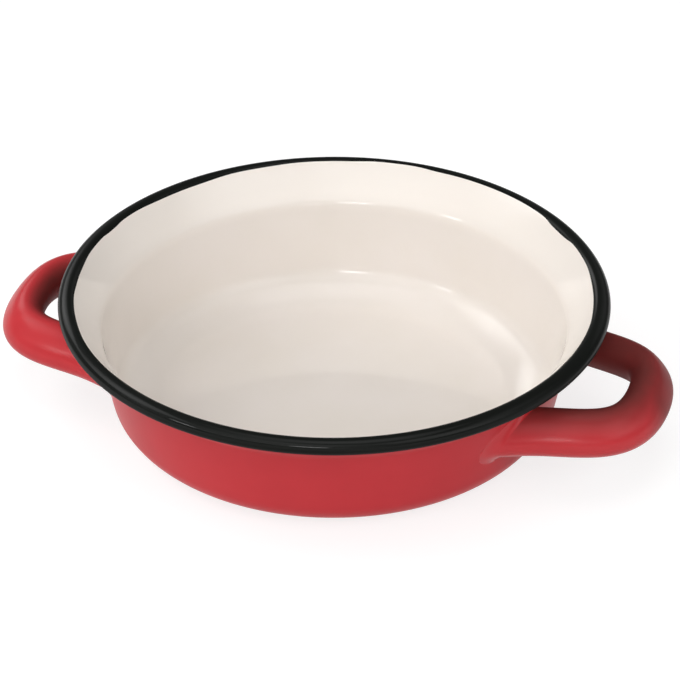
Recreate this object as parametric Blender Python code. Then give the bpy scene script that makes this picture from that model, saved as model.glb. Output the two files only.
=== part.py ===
"""Enamelled pressed-steel shirred egg dish with a rolled rim and two welded loop handles.

The frame has its origin at the centre of the underside, +Z up and the handles along X.
All sizes are in metres.

The dish is one drawn steel pressing whose edge is rolled outward into a bead. Three coats of
vitreous enamel cover it: a white lining, a red outer coat and a black band round the bead. The
handles are pressed steel channels, open on their undersides, and each foot stands on a weld.
"""

from math import acos, atan2, ceil, cos, degrees, floor, hypot, pi, radians, sin

import bmesh
import bpy
from mathutils import Vector

# Dish
RIM_RADIUS = 0.0720
DISH_HEIGHT = 0.0372
BEAD_RADIUS = 0.0022
FLARE_LENGTH = 0.0109
FLARE_LEAN = radians(36.0)
SHOULDER_RADIUS = 0.0055
WALL_LEAN = radians(11.4)
HEEL_RADIUS = 0.0084
SOLE_RADIUS = 0.0200
SOLE_SWEEP = radians(35.0)

# Sheet and coats
STEEL_THICKNESS = 0.0008
ENAMEL_THICKNESS = 0.0003
COAT_GAP = 0.0001
BLACK_EDGE_ANGLE = radians(132.0)
CURL_MOUTH = 0.0003

# Handles
HANDLE_SKEW = radians(1.1)
HANDLE_STANDOFF = 0.0136
HANDLE_HEIGHT = 0.0195
LEG_SPREAD = 0.0475
LEG_TOE_IN = radians(23.3)
LEG_RUN = 0.0154
CROSSBAR_RUN = 0.0220
SECTION_WIDTH = 0.0095
SECTION_DEPTH = 0.0126
SECTION_TILT = radians(35.0)
SECTION_SQUARENESS = 2.5
CHANNEL_WALL = 0.0014
CHANNEL_MOUTH = radians(58.0)

# Welds
SEAT_GAP = 0.0003
WELD_THICKNESS = 0.0012
WELD_FILLET = 0.0011

# Facets
TURN_STEPS = 56
SOLE_STEPS = 2
HEEL_STEPS = 3
SHOULDER_STEPS = 2
CURL_PITCH = 30
SECTION_POINTS = 13
LEG_STEPS = 12
WELD_STEPS = 3
SHARP_ANGLE = radians(40.0)
MERGE_DISTANCE = 1e-6

# Search for the place on the handle's centreline where its foot meets the wall
FOOT_SEARCH_START = -0.6
FOOT_SEARCH_END = 0.7
FOOT_SEARCH_STEPS = 40

# Widths that follow from the sizes above
STACK = STEEL_THICKNESS + 2 * ENAMEL_THICKNESS + 2 * COAT_GAP
STEEL_DEPTH = ENAMEL_THICKNESS + COAT_GAP
STEEL_BACK = STEEL_DEPTH + STEEL_THICKNESS
RED_DEPTH = STACK - ENAMEL_THICKNESS
RED_SETBACK = BEAD_RADIUS / 2
BEAD_CENTRE = Vector((RIM_RADIUS - BEAD_RADIUS, DISH_HEIGHT - BEAD_RADIUS))
TANGENT_ANGLE = pi - FLARE_LEAN
MOUTH_ANGLE = TANGENT_ANGLE + acos((BEAD_RADIUS - STACK - CURL_MOUTH) / BEAD_RADIUS) - 2 * pi


def climb(lean):
    """Unit vector (r, z) up a wall that leans outward from the vertical by lean."""
    return Vector((sin(lean), cos(lean)))


def inward(lean):
    """Unit normal (r, z) of that wall, pointing into the bowl."""
    return Vector((-cos(lean), sin(lean)))


def flare_top(depth):
    """Where the flared collar runs tangent into the bead, at a depth below the inner face."""
    return BEAD_CENTRE + inward(FLARE_LEAN) * (BEAD_RADIUS - depth)


# The corner that the wall and the flared collar would share without their fillet
SHOULDER = flare_top(0.0) - climb(FLARE_LEAN) * FLARE_LENGTH


def arc(centre, radius, start, end, steps):
    """Points on an arc, with the angle measured from +r towards +z."""
    angles = [start + (end - start) * i / steps for i in range(steps + 1)]
    return [centre + Vector((cos(a), sin(a))) * radius for a in angles]


def bowl_profile(depth, setback=0.0):
    """One face of the sheet from the axis to the bead, as (r, z) points at a depth.

    Depth 0 is the inner face and depth STACK the outer one, so every layer is a true offset of
    the same section. The heel joins the wall, and the sole arc joins the heel to the flat base.
    """
    normal = inward(WALL_LEAN)
    height = SOLE_RADIUS - (SOLE_RADIUS - HEEL_RADIUS) * cos(SOLE_SWEEP)
    reach = (HEEL_RADIUS - STACK - normal.y * (height - SHOULDER.y)) / normal.x
    heel_centre = Vector((SHOULDER.x + reach, height))
    base_radius = heel_centre.x - (SOLE_RADIUS - HEEL_RADIUS) * sin(SOLE_SWEEP)
    sole_centre = Vector((base_radius, SOLE_RADIUS))
    lift = STACK - depth
    down = -pi / 2
    sole = arc(sole_centre, SOLE_RADIUS - lift, down, down + SOLE_SWEEP, SOLE_STEPS)
    heel = arc(heel_centre, HEEL_RADIUS - lift, down + SOLE_SWEEP, -WALL_LEAN, HEEL_STEPS)
    bend = (inward(WALL_LEAN) + inward(FLARE_LEAN)) / (1 + cos(FLARE_LEAN - WALL_LEAN))
    shoulder = arc(
        SHOULDER - bend * SHOULDER_RADIUS,
        SHOULDER_RADIUS - depth,
        pi - WALL_LEAN,
        pi - FLARE_LEAN,
        SHOULDER_STEPS,
    )
    top = flare_top(depth) - climb(FLARE_LEAN) * setback
    return [Vector((0.0, lift))] + sole + heel[1:] + shoulder + [top]


def bead_profile(depth, start, end):
    """A stretch of the rolled bead at a depth, from start over the top and round to end.

    Its points between the ends stand at whole pitches, so the top and the outside are exact.
    """
    first = ceil(degrees(start) / CURL_PITCH) - 1
    last = floor(degrees(end) / CURL_PITCH) + 1
    stops = [radians(CURL_PITCH * i) for i in range(first, last - 1, -1)]
    radius = BEAD_RADIUS - depth
    return [BEAD_CENTRE + Vector((cos(a), sin(a))) * radius for a in [start] + stops + [end]]


def layer(face, back):
    """Closed outline of a layer between its two faces."""
    return face + back[::-1]


def revolve(outline):
    """Turn a closed outline about Z into one closed body."""
    bm = bmesh.new()
    verts = [bm.verts.new((point.x, 0.0, point.y)) for point in outline]
    edges = [bm.edges.new(pair) for pair in zip(verts, verts[1:])]
    if outline[0].x > 0:
        edges.append(bm.edges.new((verts[-1], verts[0])))
    bmesh.ops.spin(
        bm,
        geom=verts + edges,
        axis=(0, 0, 1),
        cent=(0, 0, 0),
        angle=2 * pi,
        steps=TURN_STEPS,
        use_merge=True,
    )
    bmesh.ops.remove_doubles(bm, verts=bm.verts[:], dist=MERGE_DISTANCE)
    return bm


def wall_radius(height, clearance):
    """Radius of the red outer face at a height, moved out by a clearance.

    The wall and the flared collar meet in a hollow corner, so the larger radius is the face.
    """
    def face(lean):
        """Radius on the straight face that leans by lean."""
        normal = inward(lean)
        return SHOULDER.x - (STACK + clearance + normal.y * (height - SHOULDER.y)) / normal.x

    return max(face(WALL_LEAN), face(FLARE_LEAN))


# Corner points of the curve that the handle's centreline follows, seen from above
FOOT = Vector(((wall_radius(HANDLE_HEIGHT, 0.0) ** 2 - (LEG_SPREAD / 2) ** 2) ** 0.5, LEG_SPREAD / 2))
LEG_PULL = FOOT + Vector((cos(LEG_TOE_IN), -sin(LEG_TOE_IN))) * LEG_RUN
CROSSBAR = Vector((RIM_RADIUS + HANDLE_STANDOFF, 0.0))
CROSSBAR_PULL = CROSSBAR + Vector((0.0, CROSSBAR_RUN))


def centreline(t):
    """Point and unit direction on half of the handle's centreline, seen from above.

    t runs from 0 at the wall to 1 at the middle of the crossbar. Below 0 the leg runs on
    straight, so that its foot can be cut to the curved wall.
    """
    if t < 0:
        run = 3 * (LEG_PULL - FOOT)
        return FOOT + run * t, run.normalized()
    s = 1 - t
    point = (
        s ** 3 * FOOT
        + 3 * s * s * t * LEG_PULL
        + 3 * s * t * t * CROSSBAR_PULL
        + t ** 3 * CROSSBAR
    )
    slope = (
        s * s * (LEG_PULL - FOOT)
        + 2 * s * t * (CROSSBAR_PULL - LEG_PULL)
        + t * t * (CROSSBAR - CROSSBAR_PULL)
    )
    return point, slope.normalized()


def superellipse(half_width, half_depth, angle):
    """Point on a rounded box, leaning so that its top comes towards the bowl."""
    power = 2 / SECTION_SQUARENESS
    across = abs(cos(angle)) ** power * half_width * (1 if cos(angle) > 0 else -1)
    up = abs(sin(angle)) ** power * half_depth * (1 if sin(angle) > 0 else -1)
    return Vector((
        across * cos(SECTION_TILT) - up * sin(SECTION_TILT),
        across * sin(SECTION_TILT) + up * cos(SECTION_TILT),
    ))


def channel_section(growth=0.0):
    """Closed outline of the channel: its outside, then its inside, open straight down."""
    start = CHANNEL_MOUTH / 2 - pi / 2 - SECTION_TILT
    span = 2 * pi - CHANNEL_MOUTH
    angles = [start + span * i / (SECTION_POINTS - 1) for i in range(SECTION_POINTS)]
    half_width = SECTION_WIDTH / 2
    half_depth = SECTION_DEPTH / 2
    outside = [superellipse(half_width + growth, half_depth + growth, a) for a in angles]
    inside = [
        superellipse(half_width - CHANNEL_WALL, half_depth - CHANNEL_WALL, a) for a in angles
    ]
    return outside + inside[::-1]


def handle_point(t, offset):
    """Point in space on the handle's surface, at a section offset (across, up)."""
    point, direction = centreline(t)
    outward = Vector((-direction.y, direction.x))
    plan = point + outward * offset.x
    return Vector((plan.x, plan.y, HANDLE_HEIGHT + offset.y))


def foot_position(offset, clearance):
    """Where a line of the handle's surface meets the dish's wall, moved out by a clearance."""
    low = FOOT_SEARCH_START
    high = FOOT_SEARCH_END
    for _ in range(FOOT_SEARCH_STEPS):
        middle = (low + high) / 2
        point = handle_point(middle, offset)
        if hypot(point.x, point.y) < wall_radius(point.z, clearance):
            low = middle
        else:
            high = middle
    return (low + high) / 2


def loft(rings):
    """Close a row of channel-shaped rings into one body."""
    bm = bmesh.new()
    loops = [[bm.verts.new(point) for point in ring] for ring in rings]
    count = len(rings[0])
    for near, far in zip(loops, loops[1:]):
        for i in range(count):
            j = (i + 1) % count
            bm.faces.new((near[i], near[j], far[j], far[i]))
    for ring in (loops[0], loops[-1]):
        for i in range(count // 2 - 1):
            bm.faces.new((ring[i], ring[i + 1], ring[count - 2 - i], ring[count - 1 - i]))
    return bm


def handle_body():
    """The right handle, from the foot behind the middle to the foot in front of it."""
    section = channel_section()
    clearance = SEAT_GAP + WELD_THICKNESS + COAT_GAP
    feet = [foot_position(offset, clearance) for offset in section]
    half = []
    for step in range(LEG_STEPS + 1):
        share = step / LEG_STEPS
        half.append([handle_point(t + (1 - t) * share, o) for t, o in zip(feet, section)])
    mirrored = [[Vector((p.x, -p.y, p.z)) for p in ring] for ring in half[-2::-1]]
    return loft(half + mirrored)


def weld_body(side):
    """The weld under one foot of the right handle, with a hollow fillet down to the wall."""
    rings = []
    for step in range(WELD_STEPS + 1):
        share = step / WELD_STEPS
        clearance = SEAT_GAP + WELD_THICKNESS * share
        section = channel_section(WELD_FILLET * (1 - share) ** 2)
        ring = [handle_point(foot_position(o, clearance), o) for o in section]
        rings.append([Vector((p.x, side * p.y, p.z)) for p in ring])
    return loft(rings)


def material(name, colour, roughness, metallic):
    """Principled material of one sub-part."""
    result = bpy.data.materials.new(name)
    result.use_nodes = True
    shader = result.node_tree.nodes["Principled BSDF"]
    shader.inputs["Base Color"].default_value = (*colour, 1.0)
    shader.inputs["Roughness"].default_value = roughness
    shader.inputs["Metallic"].default_value = metallic
    return result


def add_object(name, bm, finish):
    """Turn a bmesh into a named object with outward faces and smooth shading."""
    bmesh.ops.recalc_face_normals(bm, faces=bm.faces[:])
    mesh = bpy.data.meshes.new(name)
    bm.to_mesh(mesh)
    bm.free()
    mesh.shade_smooth()
    mesh.set_sharp_from_angle(angle=SHARP_ANGLE)
    mesh.materials.append(finish)
    result = bpy.data.objects.new(name, mesh)
    bpy.context.scene.collection.objects.link(result)
    return result


def add_pair(right_name, left_name, bm, finish):
    """A piece of the right handle and its double on the other side of the dish.

    Both handles stand a little nearer the front than square to it, by the skew.
    """
    right = add_object(right_name, bm, finish)
    right.rotation_euler = (0.0, 0.0, -HANDLE_SKEW)
    left = bpy.data.objects.new(left_name, right.data)
    left.rotation_euler = (0.0, 0.0, pi + HANDLE_SKEW)
    bpy.context.scene.collection.objects.link(left)


def build_dish():
    """The steel pressing and its three coats of enamel."""
    steel = layer(
        bowl_profile(STEEL_DEPTH)
        + bead_profile(STEEL_DEPTH, TANGENT_ANGLE, MOUTH_ANGLE)[1:],
        bowl_profile(STEEL_BACK)
        + bead_profile(STEEL_BACK, TANGENT_ANGLE, MOUTH_ANGLE)[1:],
    )
    add_object("steel_bowl", revolve(steel), material("drawn_steel", (0.42, 0.42, 0.43), 0.45, 1.0))

    white = layer(
        bowl_profile(0.0)
        + bead_profile(0.0, TANGENT_ANGLE, BLACK_EDGE_ANGLE)[1:],
        bowl_profile(ENAMEL_THICKNESS)
        + bead_profile(ENAMEL_THICKNESS, TANGENT_ANGLE, BLACK_EDGE_ANGLE)[1:],
    )
    add_object("inner_enamel", revolve(white), material("white_enamel", (0.83, 0.78, 0.71), 0.12, 0.0))

    red = layer(bowl_profile(RED_DEPTH, RED_SETBACK), bowl_profile(STACK, RED_SETBACK))
    add_object("outer_enamel", revolve(red), material("red_enamel", (0.48, 0.035, 0.045), 0.15, 0.0))

    start = BLACK_EDGE_ANGLE - atan2(COAT_GAP, BEAD_RADIUS)
    black = layer(
        bead_profile(0.0, start, MOUTH_ANGLE),
        bead_profile(ENAMEL_THICKNESS, start, MOUTH_ANGLE),
    )
    add_object("rim_enamel", revolve(black), material("black_enamel", (0.008, 0.009, 0.008), 0.18, 0.0))


def build_handles():
    """Two pressed handles and the welds under their four feet."""
    finish = material("red_enamelled_steel", (0.48, 0.035, 0.045), 0.15, 0.0)
    add_pair("right_handle", "left_handle", handle_body(), finish)
    seam = material("enamelled_weld", (0.42, 0.03, 0.04), 0.2, 0.0)
    add_pair("right_back_weld", "left_front_weld", weld_body(1), seam)
    add_pair("right_front_weld", "left_back_weld", weld_body(-1), seam)


def main():
    """Clear the scene and build every piece."""
    for old in list(bpy.data.objects):
        bpy.data.objects.remove(old)
    build_dish()
    build_handles()


main()
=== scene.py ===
"""Looks of an enamelled steel egg dish, built round its packed construction model.

The frame has its origin at the centre of the underside, +Z up and the handles along X. Sizes are
in metres, and angles are in radians except in the two tables, which are in degrees. Every shown
piece stands for one node of the frame: the drawn steel sheet, its three coats of enamel, the two
loop handles and the welds under their feet.
"""

import logging
from dataclasses import dataclass
from enum import Enum
from math import acos, atan, atan2, cos, degrees, exp, hypot, pi, radians, remainder, sin

import bmesh
import bpy
from bmesh.types import BMEdge, BMesh, BMVert
from bpy.types import Material, Node, NodeTree, Object
from mathutils import Matrix, Vector


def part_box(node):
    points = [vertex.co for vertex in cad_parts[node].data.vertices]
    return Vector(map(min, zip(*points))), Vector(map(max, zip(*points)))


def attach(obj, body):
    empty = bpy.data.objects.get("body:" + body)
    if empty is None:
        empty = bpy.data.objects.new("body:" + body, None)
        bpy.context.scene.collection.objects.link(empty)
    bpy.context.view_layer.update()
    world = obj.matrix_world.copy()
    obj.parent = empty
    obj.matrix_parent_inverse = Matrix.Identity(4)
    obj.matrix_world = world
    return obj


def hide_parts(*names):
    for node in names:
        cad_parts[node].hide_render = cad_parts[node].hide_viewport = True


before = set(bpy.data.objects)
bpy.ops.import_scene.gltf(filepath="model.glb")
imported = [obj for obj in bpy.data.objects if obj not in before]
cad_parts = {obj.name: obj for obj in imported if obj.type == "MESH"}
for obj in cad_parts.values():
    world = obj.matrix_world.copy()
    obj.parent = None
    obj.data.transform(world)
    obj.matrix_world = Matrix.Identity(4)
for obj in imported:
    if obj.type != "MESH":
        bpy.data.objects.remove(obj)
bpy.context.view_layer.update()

log = logging.getLogger("egg_dish")

Colour = tuple[float, float, float]

BODY = "root"
WELD_DISTANCE = 1e-7
SHARP_ANGLE = radians(38.0)
DOWN = -pi / 2
HANDLE_SKEW = radians(1.1)
FACING = "facing"
FULL_WHITE = (1.0, 1.0, 1.0, 1.0)


def toward(angle: float) -> Vector:
    """Unit vector in the XZ plane at an angle from +X towards +Z."""
    return Vector((cos(angle), 0.0, sin(angle)))


class Ply(Enum):
    """Layers of the enamelled sheet, as front and back depth below its inner face.

    The band lies at the same depth as the lining, beyond the edge that they share.
    """

    LINING = (0.0, 0.0003)
    STEEL = (0.0004, 0.0012)
    OUTER_COAT = (0.0013, 0.0016)
    BAND = LINING


class Side(Enum):
    """The two handles, with the turn about Z that brings the drawn one to each place."""

    RIGHT = -HANDLE_SKEW
    LEFT = pi + HANDLE_SKEW


class Foot(Enum):
    """The two feet of the right handle, with the sign of their Y."""

    BACK = 1.0
    FRONT = -1.0


class Pen:
    """Draws a wire in the XZ plane by extruding and spinning its last point."""

    def __init__(self, mesh: BMesh, start: Vector) -> None:
        """Puts the pen down.

        Args:
            mesh: The mesh that takes the wire.
            start: The wire's first point.
        """
        self.mesh = mesh
        self.tip = mesh.verts.new(start)

    def line_to(self, point: Vector, steps: int = 1) -> None:
        """Draws a straight stretch.

        Args:
            point: Where it ends.
            steps: How many edges it has.
        """
        origin = self.tip.co.copy()
        for step in range(1, steps + 1):
            grown = bmesh.ops.extrude_vert_indiv(self.mesh, verts=[self.tip])
            self.tip = grown["verts"][0]
            self.tip.co = origin.lerp(point, step / steps)

    def arc(self, centre: Vector, sweep: float, steps: int) -> None:
        """Draws an arc from the last point.

        Args:
            centre: The arc's centre.
            sweep: Its angle, positive from +X towards +Z.
            steps: How many edges it has.
        """
        turned = bmesh.ops.spin(
            self.mesh, geom=[self.tip], cent=centre, axis=(0, -1, 0), angle=sweep, steps=steps
        )
        self.tip = [part for part in turned["geom_last"] if isinstance(part, BMVert)][0]


@dataclass(frozen=True)
class Piece:
    """A finished piece of the visual model and the node it stands for."""

    name: str
    node: str

    def show(self, mesh: BMesh, finish: Material) -> Object:
        """Turns a mesh into the shown piece, riding on the frame.

        Args:
            mesh: The piece's mesh, in place, which is freed here.
            finish: Its material.

        Returns:
            The piece's object.
        """
        data = bpy.data.meshes.new(self.name)
        mesh.to_mesh(data)
        mesh.free()
        data.shade_smooth()
        data.set_sharp_from_angle(angle=SHARP_ANGLE)
        data.materials.append(finish)
        shown = bpy.data.objects.new(self.name, data)
        bpy.context.scene.collection.objects.link(shown)
        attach(shown, BODY)
        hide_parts(self.node)
        log.info("%s stands for %s with %d faces", self.name, self.node, len(data.polygons))
        return shown


@dataclass(frozen=True)
class SheetSection:
    """Section of the enamelled sheet, from the axis up to its rolled bead.

    It runs flat, through the sole and heel arcs, up the wall, through the hollow shoulder and up
    the flared collar, which is tangent to the bead. Every layer is an offset of this section.
    """

    rim_radius: float
    height: float
    bead_radius: float = 0.0022
    flare_length: float = 0.0109
    flare_lean: float = radians(36.0)
    shoulder_radius: float = 0.0055
    wall_lean: float = radians(11.4)
    heel_radius: float = 0.0084
    sole_radius: float = 0.0200
    sole_sweep: float = radians(35.0)
    thickness: float = 0.0016
    curl_mouth: float = 0.0003
    floor_steps: int = 4
    sole_steps: int = 6
    heel_steps: int = 9
    wall_steps: int = 3
    shoulder_steps: int = 8
    collar_steps: int = 2

    @property
    def bead_centre(self) -> Vector:
        """Centre of the rolled bead."""
        return Vector((self.rim_radius - self.bead_radius, 0.0, self.height - self.bead_radius))

    @property
    def tangent_angle(self) -> float:
        """Angle on the bead where the collar runs into it."""
        return pi - self.flare_lean

    @property
    def mouth_angle(self) -> float:
        """Angle on the bead where the curl ends, just short of the collar's outer face."""
        room = (self.bead_radius - self.thickness - self.curl_mouth) / self.bead_radius
        return self.tangent_angle + acos(room) - 2 * pi

    def flare_top(self, depth: float) -> Vector:
        """Where the collar meets the bead at a depth below the inner face."""
        return self.bead_centre + toward(self.tangent_angle) * (self.bead_radius - depth)

    @property
    def shoulder(self) -> Vector:
        """The corner that wall and collar would share without their fillet."""
        return self.flare_top(0.0) - toward(pi / 2 - self.flare_lean) * self.flare_length

    def wall_radius(self, height: float, clearance: float) -> float:
        """Radius of the outer face of the wall or the collar.

        Args:
            height: Height above the underside.
            clearance: How far outside the face the point lies.

        Returns:
            The larger of the two radii, because the two faces meet in a hollow corner.
        """
        corner = self.shoulder
        radii = []
        for lean in (self.wall_lean, self.flare_lean):
            normal = toward(pi - lean)
            fall = self.thickness + clearance + normal.z * (height - corner.z)
            radii.append(corner.x - fall / normal.x)
        return max(radii)

    def locate(self, radius: float, height: float) -> tuple[float, float]:
        """Finds a point of the collar or the bead on the section.

        Args:
            radius: Its distance from the axis.
            height: Its height.

        Returns:
            How far past the collar's top it lies along the surface, and its depth.
        """
        arm = Vector((radius, 0.0, height)) - self.bead_centre
        turned = self.tangent_angle - atan2(arm.z, arm.x)
        if turned > 0:
            return turned * self.bead_radius, self.bead_radius - arm.length
        out = arm.dot(toward(self.tangent_angle))
        return arm.dot(toward(pi / 2 - self.flare_lean)), self.bead_radius - out

    def point_at(self, along: float, depth: float) -> Vector:
        """The point that locate() gives these two values for."""
        if along > 0:
            spoke = toward(self.tangent_angle - along / self.bead_radius)
            return self.bead_centre + spoke * (self.bead_radius - depth)
        return self.flare_top(depth) + toward(pi / 2 - self.flare_lean) * along

    def draw(self, mesh: BMesh, depth: float, setback: float = 0.0) -> Pen:
        """Draws one face of the sheet from the axis to the bead.

        Args:
            mesh: The mesh that takes the wire.
            depth: Depth of the face below the inner one.
            setback: How far short of the bead it stops.

        Returns:
            The pen, resting where the face ends.
        """
        lift = self.thickness - depth
        normal = toward(pi - self.wall_lean)
        rise = self.sole_radius - (self.sole_radius - self.heel_radius) * cos(self.sole_sweep)
        corner = self.shoulder
        reach = (self.heel_radius - self.thickness - normal.z * (rise - corner.z)) / normal.x
        heel = Vector((corner.x + reach, 0.0, rise))
        base_radius = heel.x - (self.sole_radius - self.heel_radius) * sin(self.sole_sweep)
        pen = Pen(mesh, Vector((0.0, 0.0, lift)))
        pen.line_to(Vector((base_radius, 0.0, lift)), self.floor_steps)
        pen.arc(Vector((base_radius, 0.0, self.sole_radius)), self.sole_sweep, self.sole_steps)
        pen.arc(heel, pi / 2 - self.sole_sweep - self.wall_lean, self.heel_steps)
        bend = normal + toward(self.tangent_angle)
        bend /= 1 + cos(self.flare_lean - self.wall_lean)
        fillet = corner - bend * self.shoulder_radius
        pen.line_to(fillet + normal * (self.shoulder_radius - depth), self.wall_steps)
        pen.arc(fillet, self.wall_lean - self.flare_lean, self.shoulder_steps)
        top = self.flare_top(depth) - toward(pi / 2 - self.flare_lean) * setback
        pen.line_to(top, self.collar_steps)
        return pen


def lathe(mesh: BMesh, steps: int) -> None:
    """Spins a wire once round Z and closes its seam and its pole.

    Args:
        mesh: The mesh that holds the wire and takes the turned body.
        steps: How many facets go round.
    """
    bmesh.ops.spin(
        mesh,
        geom=mesh.verts[:] + mesh.edges[:],
        cent=(0, 0, 0),
        axis=(0, 0, 1),
        angle=2 * pi,
        steps=steps,
        use_merge=True,
    )
    bmesh.ops.remove_doubles(mesh, verts=mesh.verts[:], dist=WELD_DISTANCE)
    bmesh.ops.recalc_face_normals(mesh, faces=mesh.faces[:])


@dataclass(frozen=True)
class BrushMark:
    """A stretch of the rim where the brushed black band is wider, or narrower if shift is positive.

    The azimuth and the spread to each side are in degrees.
    """

    azimuth: float
    spread: float
    shift: float

    def at(self, azimuth: float) -> float:
        """How far the mark moves the band's edge towards the bead at an azimuth in degrees."""
        away = remainder(azimuth - self.azimuth, 360.0) / self.spread
        return self.shift * exp(-(away ** 4))


# Azimuth, spread and shift of each mark.
BRUSH_MARKS = (
    BrushMark(146.0, 11.0, -0.00050),
    BrushMark(169.0, 3.0, -0.00030),
    BrushMark(190.0, 7.0, -0.00034),
    BrushMark(110.0, 11.0, 0.00030),
    BrushMark(93.0, 8.0, 0.00066),
    BrushMark(68.0, 19.0, 0.00038),
    BrushMark(44.5, 5.0, -0.00064),
    BrushMark(16.0, 9.0, -0.00038),
    BrushMark(-12.5, 1.6, -0.00045),
    BrushMark(-18.0, 2.5, 0.00016),
    BrushMark(-136.0, 11.0, 0.00036),
)


@dataclass(frozen=True)
class Bowl:
    """The drawn sheet and its coats: lining, outer coat and the black band on the bead."""

    section: SheetSection
    band_edge: float = radians(132.0)
    brush_reach: float = 0.0016
    bead_spread: float = 0.32
    red_setback: float = 0.0011
    turn_steps: int = 256
    edge_steps: int = 3
    bead_steps: int = 22

    def spread(self, mesh: BMesh) -> BMesh:
        """Draws the bead's outer half outwards towards the handles, where it is flatter and wider.

        Args:
            mesh: A turned layer that goes round the bead.

        Returns:
            The same mesh.
        """
        middle = self.section.bead_centre.x
        for vert in mesh.verts:
            radius = hypot(vert.co.x, vert.co.y)
            if radius > middle:
                towards_handles = (vert.co.x / radius) ** 2
                scale = 1 + (radius - middle) * self.bead_spread * towards_handles / radius
                vert.co.x *= scale
                vert.co.y *= scale
        return mesh

    def brush(self, mesh: BMesh) -> BMesh:
        """Moves the brushed edge, which the lining and the band share, by its marks.

        Args:
            mesh: A turned layer that ends or starts at that edge.

        Returns:
            The same mesh.
        """
        edge = (self.section.tangent_angle - self.band_edge) * self.section.bead_radius
        for vert in mesh.verts:
            radius = hypot(vert.co.x, vert.co.y)
            if radius < self.section.shoulder.x + self.section.bead_radius:
                continue
            along, depth = self.section.locate(radius, vert.co.z)
            share = 1 - abs(along - edge) / self.brush_reach
            if share <= 0 or depth > self.section.thickness:
                continue
            azimuth = degrees(atan2(vert.co.y, vert.co.x))
            shift = sum(mark.at(azimuth) for mark in BRUSH_MARKS)
            moved = self.section.point_at(along + shift * share, depth)
            vert.co.x *= moved.x / radius
            vert.co.y *= moved.x / radius
            vert.co.z = moved.z
        return mesh

    def shell(self, ply: Ply, curl_end: float, curl_steps: int) -> BMesh:
        """A turned layer that starts on the axis and goes some way round the bead.

        Args:
            ply: The layer.
            curl_end: Angle on the bead where it ends.
            curl_steps: How many facets it has on the bead.

        Returns:
            The closed body's mesh.
        """
        mesh = bmesh.new()
        ends = []
        for depth in ply.value:
            pen = self.section.draw(mesh, depth)
            sweep = curl_end - self.section.tangent_angle
            pen.arc(self.section.bead_centre, sweep, curl_steps)
            ends.append(pen.tip)
        mesh.edges.new(ends)
        lathe(mesh, self.turn_steps)
        return mesh

    def outer_coat(self) -> BMesh:
        """The red coat, which stops just under the bead."""
        mesh = bmesh.new()
        ends = [self.section.draw(mesh, depth, self.red_setback).tip for depth in Ply.OUTER_COAT.value]
        mesh.edges.new(ends)
        lathe(mesh, self.turn_steps)
        return mesh

    def band(self) -> BMesh:
        """The black band, from its brushed inner edge over the bead to the curl's mouth."""
        mesh = bmesh.new()
        centre = self.section.bead_centre
        starts, ends = [], []
        for depth in Ply.BAND.value:
            pen = Pen(mesh, centre + toward(self.band_edge) * (self.section.bead_radius - depth))
            starts.append(pen.tip)
            pen.arc(centre, -self.band_edge, self.bead_steps)
            pen.arc(centre, self.section.mouth_angle, self.bead_steps)
            ends.append(pen.tip)
        mesh.edges.new(starts)
        mesh.edges.new(ends)
        lathe(mesh, self.turn_steps)
        return mesh

    def build(self, white: Material, red: Material, black: Material, steel: Material) -> None:
        """Builds and dresses the four layers.

        Args:
            white: Finish of the lining.
            red: Finish of the outer coat.
            black: Finish of the band.
            steel: Finish of the sheet itself.
        """
        Piece("white_lining", "inner_enamel").show(
            self.brush(self.shell(Ply.LINING, self.band_edge, self.edge_steps)), white)
        Piece("red_coat", "outer_enamel").show(self.outer_coat(), red)
        Piece("black_band", "rim_enamel").show(self.spread(self.brush(self.band())), black)
        Piece("pressing", "steel_bowl").show(
            self.spread(self.shell(Ply.STEEL, self.section.mouth_angle, 2 * self.bead_steps)), steel)


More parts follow.
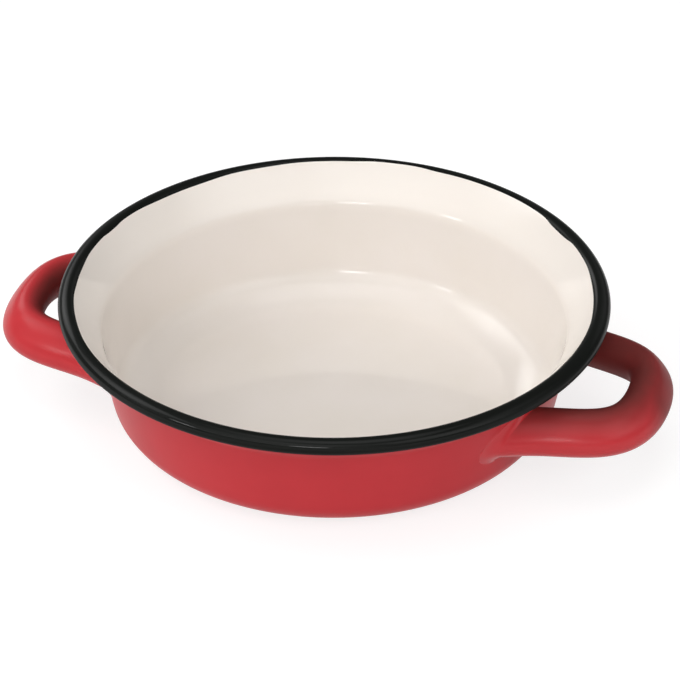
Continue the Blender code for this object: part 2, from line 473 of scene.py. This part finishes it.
@dataclass(frozen=True)
class LoopHandle:
    """A pressed channel bent into a loop, with a fillet of glaze round each foot."""

    section: SheetSection
    standoff: float = 0.0136
    axis_height: float = 0.0195
    leg_spread: float = 0.0475
    leg_toe_in: float = radians(23.3)
    leg_run: float = 0.0154
    crossbar_run: float = 0.0220
    width: float = 0.0095
    depth: float = 0.0126
    tilt: float = radians(35.0)
    squareness: float = 2.5
    wall: float = 0.0014
    mouth: float = radians(58.0)
    seat: float = 0.0002
    fillet: float = 0.0016
    outline_points: int = 44
    lip_steps: int = 5
    leg_steps: int = 44
    fillet_steps: int = 12
    search_reach: float = 0.7
    halvings: int = 30

    @property
    def foot(self) -> Vector:
        """Where the centreline starts on the wall, seen from above."""
        radius = self.section.wall_radius(self.axis_height, 0.0)
        half = self.leg_spread / 2
        return Vector(((radius ** 2 - half ** 2) ** 0.5, half))

    def centreline(self, t: float) -> tuple[Vector, Vector]:
        """Half of the centreline, seen from above.

        Args:
            t: From 0 at the wall to 1 at the middle of the crossbar, and straight on below 0.

        Returns:
            The point and the unit direction there.
        """
        foot = self.foot
        leg = foot + Vector((cos(self.leg_toe_in), -sin(self.leg_toe_in))) * self.leg_run
        middle = Vector((self.section.rim_radius + self.standoff, 0.0))
        bend = middle + Vector((0.0, self.crossbar_run))
        if t < 0:
            run = 3 * (leg - foot)
            return foot + run * t, run.normalized()
        s = 1 - t
        point = s ** 3 * foot + 3 * s * s * t * leg + 3 * s * t * t * bend + t ** 3 * middle
        slope = s * s * (leg - foot) + 2 * s * t * (bend - leg) + t * t * (middle - bend)
        return point, slope.normalized()

    def rounded_box(self, angle: float, growth: float) -> Vector:
        """Point on the channel's rounded outline, leaning with its top towards the bowl.

        Args:
            angle: Place on the outline.
            growth: How far outside the handle's own surface it lies.

        Returns:
            The point as (across, up).
        """
        power = 2 / self.squareness
        across = abs(cos(angle)) ** power * (self.width / 2 + growth)
        up = abs(sin(angle)) ** power * (self.depth / 2 + growth)
        across = across if cos(angle) > 0 else -across
        up = up if sin(angle) > 0 else -up
        return Vector((
            across * cos(self.tilt) - up * sin(self.tilt),
            across * sin(self.tilt) + up * cos(self.tilt),
        ))

    def outline(self, growth: float) -> list[Vector]:
        """The channel's outside and then its inside, open straight down.

        Args:
            growth: How far the outside is moved out.

        Returns:
            The closed outline's points as (across, up).
        """
        set_in = self.wall / self.depth
        start = self.mouth / 2 + DOWN - self.tilt + set_in
        span = 2 * pi - self.mouth - 2 * set_in
        count = self.outline_points
        angles = [start + span * i / (count - 1) for i in range(count)]
        outside = [self.rounded_box(angle, growth) for angle in angles]
        inside = [self.rounded_box(angle, -self.wall) for angle in angles]
        inside.reverse()
        return outside + self.lip(outside[-1], inside[0]) + inside + self.lip(inside[-1], outside[0])

    def lip(self, near: Vector, far: Vector) -> list[Vector]:
        """Half round of glaze over the sheet's edge, from one face to the other.

        Args:
            near: The last point of the face before it.
            far: The first point of the face after it.

        Returns:
            The points between the two, which bulge into the channel's mouth.
        """
        centre = (near + far) / 2
        arm = near - centre
        side = Vector((-arm.y, arm.x))
        turns = [pi * i / (self.lip_steps + 1) for i in range(1, self.lip_steps + 1)]
        return [centre + arm * cos(turn) + side * sin(turn) for turn in turns]

    def place(self, t: float, offset: Vector) -> Vector:
        """Point in space at a section offset from the centreline.

        Args:
            t: Place along the centreline.
            offset: (across, up) in the section.

        Returns:
            The point.
        """
        point, direction = self.centreline(t)
        across = Vector((-direction.y, direction.x)) * offset.x
        return Vector((point.x + across.x, point.y + across.y, self.axis_height + offset.y))

    def meet_wall(self, offset: Vector, clearance: float) -> float:
        """Where a line along the handle's surface meets the bowl's wall.

        Args:
            offset: (across, up) of the line in the section.
            clearance: How far outside the wall it stops.

        Returns:
            The place along the centreline, found by halving.
        """
        low, high = -self.search_reach, self.search_reach
        for _ in range(self.halvings):
            middle = (low + high) / 2
            point = self.place(middle, offset)
            if hypot(point.x, point.y) < self.section.wall_radius(point.z, clearance):
                low = middle
            else:
                high = middle
        return (low + high) / 2

    def sweep(self, rings: list[list[Vector]]) -> BMesh:
        """Extrudes the first ring through the places of all the others.

        Args:
            rings: Rings of equally many points, one for each point of the outline.

        Returns:
            A mesh that is open at both ends and knows which way each point faces in the section,
            in turns: -0.25 down, 0 away from the finger hole, 0.25 up and 0.5 into the hole.
        """
        quarter_turn = 0.25
        mesh = bmesh.new()
        number = mesh.verts.layers.int.new("number")
        facing = mesh.verts.layers.float.new(FACING)
        verts = [mesh.verts.new(point) for point in rings[0]]
        for i, (vert, offset) in enumerate(zip(verts, self.outline(0.0))):
            vert[number] = i
            vert[facing] = (atan2(offset.y, offset.x) - DOWN) / (2 * pi) % 1.0 - quarter_turn
        edges = [mesh.edges.new(pair) for pair in zip(verts, verts[1:] + verts[:1])]
        for ring in rings[1:]:
            grown = bmesh.ops.extrude_edge_only(mesh, edges=edges)["geom"]
            edges = [part for part in grown if isinstance(part, BMEdge)]
            for vert in grown:
                if isinstance(vert, BMVert):
                    vert.co = ring[vert[number]]
            edges = [edge for edge in edges if len(edge.link_faces) == 1]
        return mesh

    def finish_mesh(self, mesh: BMesh, side: Side) -> BMesh:
        """Closes the open ends, faces the surface out and turns it to its side.

        Args:
            mesh: A swept channel of the right handle.
            side: The handle that it belongs to.

        Returns:
            The same mesh.
        """
        rim = [edge for edge in mesh.edges if len(edge.link_faces) == 1]
        bmesh.ops.holes_fill(mesh, edges=rim, sides=0)
        bmesh.ops.triangulate(mesh, faces=[face for face in mesh.faces if len(face.verts) > 4])
        bmesh.ops.recalc_face_normals(mesh, faces=mesh.faces[:])
        turn = Matrix.Rotation(side.value, 3, "Z")
        bmesh.ops.rotate(mesh, verts=mesh.verts[:], cent=(0, 0, 0), matrix=turn)
        return mesh

    def loop(self, side: Side) -> BMesh:
        """The handle's body, from one foot's fillet round to the other's."""
        outline = self.outline(0.0)
        starts = [self.meet_wall(offset, self.fillet) for offset in outline]
        rings = []
        for step in range(self.leg_steps + 1):
            share = step / self.leg_steps
            rings.append([self.place(t + (1 - t) * share, o) for t, o in zip(starts, outline)])
        mesh = self.sweep(rings)
        bmesh.ops.mirror(mesh, geom=mesh.verts[:] + mesh.edges[:] + mesh.faces[:], axis="Y",
                         merge_dist=WELD_DISTANCE)
        return self.finish_mesh(mesh, side)

    def weld(self, side: Side, foot: Foot) -> BMesh:
        """The fillet of one foot, hollow towards the wall and the leg."""
        turns = [pi / 2 * step / self.fillet_steps for step in range(self.fillet_steps + 1)]
        stations = [(self.fillet * (1 - sin(turn)), self.fillet * (1 - cos(turn))) for turn in turns]
        rings = []
        for growth, clearance in [(self.fillet, -self.seat)] + stations:
            ring = [self.place(self.meet_wall(o, clearance), o) for o in self.outline(growth)]
            rings.append([Vector((p.x, foot.value * p.y, p.z)) for p in ring])
        return self.finish_mesh(self.sweep(rings), side)

    def build(self, finishes: dict[Side, Material], pooled: Material) -> None:
        """Builds and dresses both handles and their four welds.

        Args:
            finishes: The finish of each handle.
            pooled: The finish of the welds.
        """
        for side, red in finishes.items():
            name = side.name.lower()
            Piece(f"{name}_loop", f"{name}_handle").show(self.loop(side), red)
            for foot in Foot:
                # The half turn of the left handle takes its back foot to the front.
                end = (foot if side is Side.RIGHT else Foot(-foot.value)).name.lower()
                Piece(f"{name}_{end}_fillet", f"{name}_{end}_weld").show(self.weld(side, foot), pooled)


def add_noise(tree: NodeTree, scale: float, detail: float) -> Node:
    """Adds a noise texture of so many waves a metre."""
    node = tree.nodes.new("ShaderNodeTexNoise")
    node.inputs["Scale"].default_value = scale
    node.inputs["Detail"].default_value = detail
    return node


def add_math(tree: NodeTree, kind: str, second: float = 0.0, third: float = 0.0) -> Node:
    """Adds a sum of one kind, with its second and third numbers."""
    node = tree.nodes.new("ShaderNodeMath")
    node.operation = kind
    node.inputs[1].default_value = second
    node.inputs[2].default_value = third
    return node


def add_step(tree: NodeTree, low: float = 0.0, high: float = 1.0) -> Node:
    """Adds a smooth step, from 0 at one value to 1 at another."""
    node = tree.nodes.new("ShaderNodeMapRange")
    node.interpolation_type = "SMOOTHSTEP"
    node.inputs["From Min"].default_value = low
    node.inputs["From Max"].default_value = high
    return node


def add_tint(tree: NodeTree, second: Colour = (0.5, 0.5, 0.5)) -> Node:
    """Adds a blend of two colours, with the second one."""
    node = tree.nodes.new("ShaderNodeMix")
    node.data_type = "RGBA"
    node.inputs["B"].default_value = (*second, 1.0)
    return node


class Effects:
    """Node groups that several finishes share.

    Waves are counted to the metre, and the back of a handle is a range of Y.
    """

    LONG_WAVES = 45.0
    SHORT_WAVES = 260.0
    SHORT_SHARE = 0.18
    POOL_WAVES = 38.0
    POOL_RANGE = (0.35, 0.65)
    FILM_WAVES = 120.0
    FILM_SPREAD = 0.05
    # Patchiness of the painted shade on the handles, and the Y range where the back starts to take it.
    SHADE_WAVES = 150.0
    SHADE_SPREAD = 0.30
    SHADE_LEAST = 0.85
    BACK_RANGE = (-0.017, -0.003)

    def __init__(self) -> None:
        """Builds all the groups."""
        self.waves = self.make_waves()
        self.pooling = self.make_pooling()
        self.painted_shade = self.make_painted_shade()

    @staticmethod
    def open_group(name: str, inputs: dict[str, str],
                   outputs: dict[str, str]) -> tuple[NodeTree, Node, Node]:
        """Starts a node group with named sockets.

        Args:
            name: The group's name.
            inputs: Socket type of each input.
            outputs: Socket type of each output.

        Returns:
            The group, its input node and its output node.
        """
        group = bpy.data.node_groups.new(name, "ShaderNodeTree")
        for label, kind in inputs.items():
            group.interface.new_socket(name=label, in_out="INPUT", socket_type=kind)
        for label, kind in outputs.items():
            group.interface.new_socket(name=label, in_out="OUTPUT", socket_type=kind)
        return group, group.nodes.new("NodeGroupInput"), group.nodes.new("NodeGroupOutput")

    def make_waves(self) -> NodeTree:
        """Height of the glaze: long waves of the sheet and short ones of the fired coat."""
        group, source, result = self.open_group(
            "glaze_waves", {"Place": "NodeSocketVector"}, {"Height": "NodeSocketFloat"}
        )
        long_waves = add_noise(group, self.LONG_WAVES, detail=1.0)
        short_waves = add_noise(group, self.SHORT_WAVES, detail=2.0)
        mix = group.nodes.new("ShaderNodeMix")
        mix.inputs["Factor"].default_value = self.SHORT_SHARE
        group.links.new(source.outputs["Place"], long_waves.inputs["Vector"])
        group.links.new(source.outputs["Place"], short_waves.inputs["Vector"])
        group.links.new(long_waves.outputs["Fac"], mix.inputs["A"])
        group.links.new(short_waves.outputs["Fac"], mix.inputs["B"])
        group.links.new(mix.outputs["Result"], result.inputs["Height"])
        return group

    def make_pooling(self) -> NodeTree:
        """Colour and roughness of a coat that is thicker in some places than in others."""
        group, source, result = self.open_group(
            "glaze_pooling",
            {
                "Place": "NodeSocketVector",
                "Thin": "NodeSocketColor",
                "Pooled": "NodeSocketColor",
                "Gloss": "NodeSocketFloat",
            },
            {"Colour": "NodeSocketColor", "Roughness": "NodeSocketFloat"},
        )
        clouds = add_noise(group, self.POOL_WAVES, detail=3.0)
        ramp = group.nodes.new("ShaderNodeMapRange")
        ramp.inputs["From Min"].default_value = self.POOL_RANGE[0]
        ramp.inputs["From Max"].default_value = self.POOL_RANGE[1]
        tint = add_tint(group)
        film = add_noise(group, self.FILM_WAVES, detail=2.0)
        spread = add_math(group, "MULTIPLY_ADD", self.FILM_SPREAD)
        group.links.new(source.outputs["Place"], clouds.inputs["Vector"])
        group.links.new(source.outputs["Place"], film.inputs["Vector"])
        group.links.new(clouds.outputs["Fac"], ramp.inputs["Value"])
        group.links.new(ramp.outputs["Result"], tint.inputs["Factor"])
        group.links.new(source.outputs["Thin"], tint.inputs["A"])
        group.links.new(source.outputs["Pooled"], tint.inputs["B"])
        group.links.new(tint.outputs["Result"], result.inputs["Colour"])
        group.links.new(film.outputs["Fac"], spread.inputs[0])
        group.links.new(source.outputs["Gloss"], spread.inputs[2])
        group.links.new(spread.outputs["Value"], result.inputs["Roughness"])
        return group

    def make_painted_shade(self) -> NodeTree:
        """Mask of the painted shade on a handle, where a dull dark brown stands for shade.

        Faces up to one angle of the section are unshaded and those past another are fully shaded,
        the back behind a line across the handle takes a share of it, and noise makes it patchy.
        """
        group, source, result = self.open_group(
            "painted_shade",
            {
                "Facing": "NodeSocketFloat",
                "Place": "NodeSocketVector",
                "Unshaded To": "NodeSocketFloat",
                "Shaded From": "NodeSocketFloat",
                "Back Shade": "NodeSocketFloat",
            },
            {"Mask": "NodeSocketFloat"},
        )
        links = group.links
        turned_away = add_step(group)
        axes = group.nodes.new("ShaderNodeSeparateXYZ")
        behind = add_step(group, *self.BACK_RANGE)
        back_share = add_math(group, "MULTIPLY")
        either = add_math(group, "MAXIMUM")
        cloud = add_noise(group, self.SHADE_WAVES, detail=2.0)
        patchy = add_math(group, "MULTIPLY_ADD", self.SHADE_SPREAD, self.SHADE_LEAST)
        mask = add_math(group, "MULTIPLY")
        mask.use_clamp = True
        links.new(source.outputs["Facing"], turned_away.inputs["Value"])
        links.new(source.outputs["Unshaded To"], turned_away.inputs["From Min"])
        links.new(source.outputs["Shaded From"], turned_away.inputs["From Max"])
        links.new(source.outputs["Place"], axes.inputs["Vector"])
        links.new(source.outputs["Place"], cloud.inputs["Vector"])
        links.new(axes.outputs["Y"], behind.inputs["Value"])
        links.new(behind.outputs["Result"], back_share.inputs[0])
        links.new(source.outputs["Back Shade"], back_share.inputs[1])
        links.new(turned_away.outputs["Result"], either.inputs[0])
        links.new(back_share.outputs["Value"], either.inputs[1])
        links.new(cloud.outputs["Fac"], patchy.inputs[0])
        links.new(either.outputs["Value"], mask.inputs[0])
        links.new(patchy.outputs["Value"], mask.inputs[1])
        links.new(mask.outputs["Value"], result.inputs["Mask"])
        return group


@dataclass(frozen=True)
class Enamel:
    """A coat of vitreous enamel.

    The glaze has waves a few millimetres long and pools a little thicker here and there.
    """

    name: str
    colour: Colour
    pooled: Colour
    roughness: float
    wave_depth: float
    ior: float = 1.45
    specular: float = 0.5

    def make(self, effects: Effects) -> Material:
        """Makes the coat's material.

        Args:
            effects: The node groups for the glaze's height, colour and roughness.

        Returns:
            The material.
        """
        material = bpy.data.materials.new(self.name)
        material.use_nodes = True
        nodes, links = material.node_tree.nodes, material.node_tree.links
        shader = nodes["Principled BSDF"]
        shader.inputs["IOR"].default_value = self.ior
        shader.inputs["Specular IOR Level"].default_value = self.specular
        place = nodes.new("ShaderNodeTexCoord")
        glaze = nodes.new("ShaderNodeGroup")
        glaze.node_tree = effects.pooling
        glaze.inputs["Thin"].default_value = (*self.colour, 1.0)
        glaze.inputs["Pooled"].default_value = (*self.pooled, 1.0)
        glaze.inputs["Gloss"].default_value = self.roughness
        ripple = nodes.new("ShaderNodeGroup")
        ripple.node_tree = effects.waves
        bump = nodes.new("ShaderNodeBump")
        bump.inputs["Distance"].default_value = self.wave_depth
        links.new(place.outputs["Object"], glaze.inputs["Place"])
        links.new(place.outputs["Object"], ripple.inputs["Place"])
        links.new(glaze.outputs["Colour"], shader.inputs["Base Color"])
        links.new(ripple.outputs["Height"], bump.inputs["Height"])
        links.new(bump.outputs["Normal"], shader.inputs["Normal"])
        self.wear(material, effects, place, glaze)
        return material

    def wear(self, material: Material, effects: Effects, place: Node, glaze: Node) -> None:
        """Gives a plain coat the glaze's roughness.

        Args:
            material: The coat's material.
            effects: The node groups, which some coats need.
            place: The node that gives Object coordinates, which some coats need.
            glaze: The node that gives the glaze's colour and roughness.
        """
        shader = material.node_tree.nodes["Principled BSDF"]
        material.node_tree.links.new(glaze.outputs["Roughness"], shader.inputs["Roughness"])


@dataclass(frozen=True)
class LiningEnamel(Enamel):
    """Enamel of the inside, with painted light: a whiter collar, which faces up into more light."""

    # Painted light: the collar's whiter colour stands for the stronger light that falls on it.
    collar: Colour = (0.91, 0.85, 0.79)
    wall_top: float = 0.0245
    collar_foot: float = 0.0305

    def wear(self, material: Material, effects: Effects, place: Node, glaze: Node) -> None:
        """Adds the collar's painted light, a whiter colour, to the plain coat, from the same
        arguments.
        """
        super().wear(material, effects, place, glaze)
        nodes, links = material.node_tree.nodes, material.node_tree.links
        axes = nodes.new("ShaderNodeSeparateXYZ")
        above = add_step(material.node_tree, self.wall_top, self.collar_foot)
        tint = add_tint(material.node_tree, self.collar)
        links.new(place.outputs["Object"], axes.inputs["Vector"])
        links.new(axes.outputs["Z"], above.inputs["Value"])
        links.new(above.outputs["Result"], tint.inputs["Factor"])
        links.new(glaze.outputs["Colour"], tint.inputs["A"])
        links.new(tint.outputs["Result"], nodes["Principled BSDF"].inputs["Base Color"])


@dataclass(frozen=True)
class HandleEnamel(Enamel):
    """Red enamel of a handle, with painted shade: a dull dark brown on the faces turned up towards
    the finger hole past a given angle, and on the back, where less light falls.

    Its gloss lies in a clear layer over a dull base, and goes where the painted shade is. Faces
    are counted in turns, as in LoopHandle.sweep().
    """

    unshaded_to: float = 0.24
    shaded_from: float = 0.40
    back_shade: float = 0.0
    # Painted shade: a dull dark brown for the faces and the back of the handle that get less light.
    shade_brown: Colour = (0.165, 0.031, 0.028)
    shade_roughness: float = 0.6
    coat: float = 0.65

    def wear(self, material: Material, effects: Effects, place: Node, glaze: Node) -> None:
        """Blends in the painted shade's dark brown by its mask, from the same arguments."""
        nodes, links = material.node_tree.nodes, material.node_tree.links
        shader = nodes["Principled BSDF"]
        facing = nodes.new("ShaderNodeAttribute")
        facing.attribute_name = FACING
        shade_mask = nodes.new("ShaderNodeGroup")
        shade_mask.node_tree = effects.painted_shade
        shade_mask.inputs["Unshaded To"].default_value = self.unshaded_to
        shade_mask.inputs["Shaded From"].default_value = self.shaded_from
        shade_mask.inputs["Back Shade"].default_value = self.back_shade
        tint = add_tint(material.node_tree, self.shade_brown)
        gloss = add_math(material.node_tree, "MULTIPLY_ADD", -self.coat, self.coat)
        shader.inputs["Roughness"].default_value = self.shade_roughness
        shader.inputs["Coat IOR"].default_value = self.ior
        shader.inputs["Coat Roughness"].default_value = self.roughness
        links.new(facing.outputs["Fac"], shade_mask.inputs["Facing"])
        links.new(place.outputs["Object"], shade_mask.inputs["Place"])
        links.new(shade_mask.outputs["Mask"], tint.inputs["Factor"])
        links.new(shade_mask.outputs["Mask"], gloss.inputs[0])
        links.new(glaze.outputs["Colour"], tint.inputs["A"])
        links.new(tint.outputs["Result"], shader.inputs["Base Color"])
        links.new(gloss.outputs["Value"], shader.inputs["Coat Weight"])


@dataclass(frozen=True)
class BandEnamel(Enamel):
    """Enamel brushed round the bead, dull underneath where the brush ran dry.

    Its gloss lies in a clear layer over a dull base, and comes in between two heights.
    """

    dry_below: float = 0.0345
    wet_above: float = 0.0358
    dry_roughness: float = 0.5
    gloss: float = 0.30

    def wear(self, material: Material, effects: Effects, place: Node, glaze: Node) -> None:
        """Leaves the underside of the bead without its gloss, from the same arguments."""
        nodes, links = material.node_tree.nodes, material.node_tree.links
        shader = nodes["Principled BSDF"]
        axes = nodes.new("ShaderNodeSeparateXYZ")
        wet = add_step(material.node_tree, self.dry_below, self.wet_above)
        wet.inputs["To Max"].default_value = self.gloss
        shader.inputs["Coat IOR"].default_value = self.ior
        shader.inputs["Coat Roughness"].default_value = self.roughness
        shader.inputs["Roughness"].default_value = self.dry_roughness
        links.new(place.outputs["Object"], axes.inputs["Vector"])
        links.new(axes.outputs["Z"], wet.inputs["Value"])
        links.new(wet.outputs["Result"], shader.inputs["Coat Weight"])


@dataclass(frozen=True)
class BareSteel:
    """Drawn steel sheet, seen only inside the curl."""

    name: str = "drawn_sheet"
    colour: Colour = (0.30, 0.30, 0.31)
    oxide: Colour = (0.12, 0.10, 0.09)
    roughness: float = 0.5

    def make(self, effects: Effects) -> Material:
        """Makes the sheet's material, with a mottled oxide from the kiln.

        Args:
            effects: The node groups, of which it takes the one for colour and roughness.

        Returns:
            The material.
        """
        material = bpy.data.materials.new(self.name)
        material.use_nodes = True
        nodes, links = material.node_tree.nodes, material.node_tree.links
        shader = nodes["Principled BSDF"]
        shader.inputs["Metallic"].default_value = 1.0
        place = nodes.new("ShaderNodeTexCoord")
        mottle = nodes.new("ShaderNodeGroup")
        mottle.node_tree = effects.pooling
        mottle.inputs["Thin"].default_value = (*self.colour, 1.0)
        mottle.inputs["Pooled"].default_value = (*self.oxide, 1.0)
        mottle.inputs["Gloss"].default_value = self.roughness
        links.new(place.outputs["Object"], mottle.inputs["Place"])
        links.new(mottle.outputs["Colour"], shader.inputs["Base Color"])
        links.new(mottle.outputs["Roughness"], shader.inputs["Roughness"])
        return material


@dataclass(frozen=True)
class Softbox:
    """A flat lamp that faces the dish from an azimuth and an elevation in the camera's frame.

    Both are in degrees. Seen from the dish, its light fades out at the half diagonal times the hood.
    """

    name: str
    azimuth: float
    elevation: float
    width: float
    height: float
    radiance: float
    hood: float = 1.1
    distance: float = 1.2

    def make(self, heading: float, aim: Vector) -> None:
        """Hangs the lamp, which is brightest seen from the middle of its beam.

        Args:
            heading: The camera's turn about Z, which the azimuth is counted from.
            aim: The point that it faces.
        """
        lamp = bpy.data.lights.new(self.name, "AREA")
        lamp.shape = "RECTANGLE"
        lamp.size = self.width
        lamp.size_y = self.height
        fade = self.hood * hypot(self.width, self.height) / 2 / self.distance
        lamp.spread = 2 * atan(fade)
        lamp.energy = self.radiance * pi * self.width * self.height * (fade - atan(fade)) / fade
        turn = radians(self.azimuth) + heading
        rise = radians(self.elevation)
        away = Vector((cos(turn) * cos(rise), sin(turn) * cos(rise), sin(rise)))
        hung = bpy.data.objects.new(self.name, lamp)
        hung.location = aim + away * self.distance
        hung.rotation_euler = away.to_track_quat("Z", "Y").to_euler()
        hung.visible_camera = False
        bpy.context.scene.collection.objects.link(hung)


# Name, azimuth, elevation, width, height and radiance of each lamp.
LAMPS = (
    Softbox("key", -128.0, 43.0, 1.60, 0.85, 1.35),
    Softbox("key_strip", -128.0, 20.0, 0.90, 0.10, 4.0, hood=2.5),
    Softbox("left_window", -150.0, 20.0, 0.20, 0.12, 17.0, hood=2.5),
    Softbox("front_window", -100.0, 20.0, 0.28, 0.12, 19.0, hood=2.5),
    Softbox("right_strip", -30.0, 20.0, 1.50, 0.07, 2.6, hood=1.6),
    Softbox("left", 163.0, 42.0, 1.15, 0.60, 4.0),
    Softbox("left_low", -170.0, 16.0, 0.90, 0.30, 0.9),
    Softbox("front", -90.0, 42.0, 1.30, 0.45, 1.2),
    Softbox("front_low", -90.0, 14.0, 1.10, 0.25, 1.6),
    Softbox("front_right", -42.0, 35.0, 1.10, 0.70, 2.2),
    Softbox("right", 4.0, 48.0, 0.80, 0.50, 0.8),
    Softbox("right_low", 0.0, 16.0, 0.90, 0.30, 0.5),
    Softbox("back_left", 120.0, 25.0, 0.70, 0.40, 3.4),
    Softbox("back_right", 60.0, 25.0, 0.70, 0.40, 0.4),
    Softbox("zenith", -90.0, 88.0, 1.00, 1.00, 2.2),
)


@dataclass(frozen=True)
class Studio:
    """Pale floor, soft lamps and the camera at the photographed angle."""

    heading: float = radians(17.6)
    elevation: float = radians(32.648)
    distance: float = 0.9361
    aim: Vector = Vector((0.0015, -0.0215, 0.0353))
    roll: float = radians(0.2286)
    lens: float = 192.0
    floor_size: float = 6.0
    floor_gap: float = 0.00002
    floor_grey: float = 0.80
    seen_grey: float = 0.35
    floor_glow: float = 0.78
    world_level: float = 0.10
    lit_point: Vector = Vector((0.0, 0.0, 0.02))

    def camera(self) -> None:
        """Places the camera and makes it the scene's own."""
        turn = Matrix.Rotation(self.heading, 3, "Z")
        back = turn @ Vector((0.0, -cos(self.elevation), sin(self.elevation)))
        data = bpy.data.cameras.new("camera")
        data.lens = self.lens
        eye = bpy.data.objects.new("camera", data)
        facing = back.to_track_quat("Z", "Y").to_matrix()
        facing = facing @ Matrix.Rotation(-self.roll, 3, "Z")
        eye.matrix_world = Matrix.Translation(turn @ self.aim + back * self.distance) @ facing.to_4x4()
        bpy.context.scene.collection.objects.link(eye)
        bpy.context.scene.camera = eye

    def floor(self) -> None:
        """Lays the floor, just below the dish, as near white with a soft shadow.

        The camera and the glaze see it brighter than it lights the dish.
        """
        mesh = bmesh.new()
        bmesh.ops.create_grid(mesh, x_segments=1, y_segments=1, size=self.floor_size / 2)
        data = bpy.data.meshes.new("floor")
        mesh.to_mesh(data)
        mesh.free()
        material = bpy.data.materials.new("pale_floor")
        material.use_nodes = True
        tree = material.node_tree
        nodes, links = tree.nodes, tree.links
        nodes.clear()
        output = nodes.new("ShaderNodeOutputMaterial")
        plain = nodes.new("ShaderNodeBsdfDiffuse")
        plain.inputs["Color"].default_value = (self.floor_grey,) * 3 + (1.0,)
        pale = nodes.new("ShaderNodeBsdfDiffuse")
        pale.inputs["Color"].default_value = (self.seen_grey,) * 3 + (1.0,)
        glow = nodes.new("ShaderNodeEmission")
        glow.inputs["Strength"].default_value = self.floor_glow
        seen = nodes.new("ShaderNodeAddShader")
        path = nodes.new("ShaderNodeLightPath")
        shiny = add_math(tree, "MAXIMUM")
        either = add_math(tree, "MAXIMUM")
        switch = nodes.new("ShaderNodeMixShader")
        links.new(path.outputs["Is Glossy Ray"], shiny.inputs[0])
        links.new(path.outputs["Is Transmission Ray"], shiny.inputs[1])
        links.new(path.outputs["Is Camera Ray"], either.inputs[0])
        links.new(shiny.outputs["Value"], either.inputs[1])
        links.new(pale.outputs["BSDF"], seen.inputs[0])
        links.new(glow.outputs["Emission"], seen.inputs[1])
        links.new(either.outputs["Value"], switch.inputs["Fac"])
        links.new(plain.outputs["BSDF"], switch.inputs[1])
        links.new(seen.outputs["Shader"], switch.inputs[2])
        links.new(switch.outputs["Shader"], output.inputs["Surface"])
        data.materials.append(material)
        laid = bpy.data.objects.new("floor", data)
        laid.location.z = -self.floor_gap
        bpy.context.scene.collection.objects.link(laid)

    def world(self) -> None:
        """Fills the room with even light, behind which the camera sees white."""
        world = bpy.data.worlds.new("room")
        bpy.context.scene.world = world
        world.use_nodes = True
        nodes, links = world.node_tree.nodes, world.node_tree.links
        plain = nodes["Background"]
        plain.inputs["Strength"].default_value = self.world_level
        white = nodes.new("ShaderNodeBackground")
        white.inputs["Color"].default_value = FULL_WHITE
        plain.inputs["Color"].default_value = FULL_WHITE
        path = nodes.new("ShaderNodeLightPath")
        switch = nodes.new("ShaderNodeMixShader")
        links.new(path.outputs["Is Camera Ray"], switch.inputs["Fac"])
        links.new(plain.outputs["Background"], switch.inputs[1])
        links.new(white.outputs["Background"], switch.inputs[2])
        links.new(switch.outputs["Shader"], nodes["World Output"].inputs["Surface"])

    def build(self) -> None:
        """Sets up the whole studio."""
        self.camera()
        self.floor()
        self.world()
        for lamp in LAMPS:
            lamp.make(self.heading, self.lit_point)
        bpy.context.scene.view_settings.view_transform = "Standard"


def main() -> None:
    """Builds the dish, its finishes and the studio."""
    logging.basicConfig(level=logging.INFO, format="%(name)s: %(message)s")
    effects = Effects()
    white = LiningEnamel("white_glaze", (0.84, 0.78, 0.73), (0.82, 0.76, 0.70),
                         roughness=0.03, wave_depth=0.00001)
    black = BandEnamel("black_glaze", (0.006, 0.007, 0.006), (0.004, 0.005, 0.004),
                       roughness=0.07, wave_depth=0.00002, ior=1.42, specular=0.08)
    body = Enamel("red_glaze", (0.60, 0.048, 0.057), (0.56, 0.044, 0.052),
                  roughness=0.34, wave_depth=0.00004, ior=1.30, specular=0.2)
    # The right handle carries more painted shade than the left: more of its faces and its back.
    handle_reds = ((0.60, 0.038, 0.046), (0.55, 0.034, 0.041))
    left = HandleEnamel("left_handle_glaze", *handle_reds, roughness=0.21, wave_depth=0.00004,
                        ior=1.36, specular=0.15, coat=0.45)
    right = HandleEnamel("right_handle_glaze", *handle_reds, roughness=0.21, wave_depth=0.00004,
                         ior=1.40, specular=0.15, unshaded_to=-0.01, shaded_from=0.32,
                         back_shade=0.70, coat=0.55)
    pooled = Enamel("fillet_glaze", *handle_reds, roughness=0.22, wave_depth=0.00003,
                    ior=1.38, specular=0.45)
    _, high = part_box("rim_enamel")
    section = SheetSection(rim_radius=high.x, height=high.z)
    finishes = [finish.make(effects) for finish in (white, body, black, BareSteel())]
    Bowl(section).build(*finishes)
    sprayed = {Side.LEFT: left.make(effects), Side.RIGHT: right.make(effects)}
    LoopHandle(section).build(sprayed, pooled.make(effects))
    Studio().build()


if __name__ == "__main__":
    main()
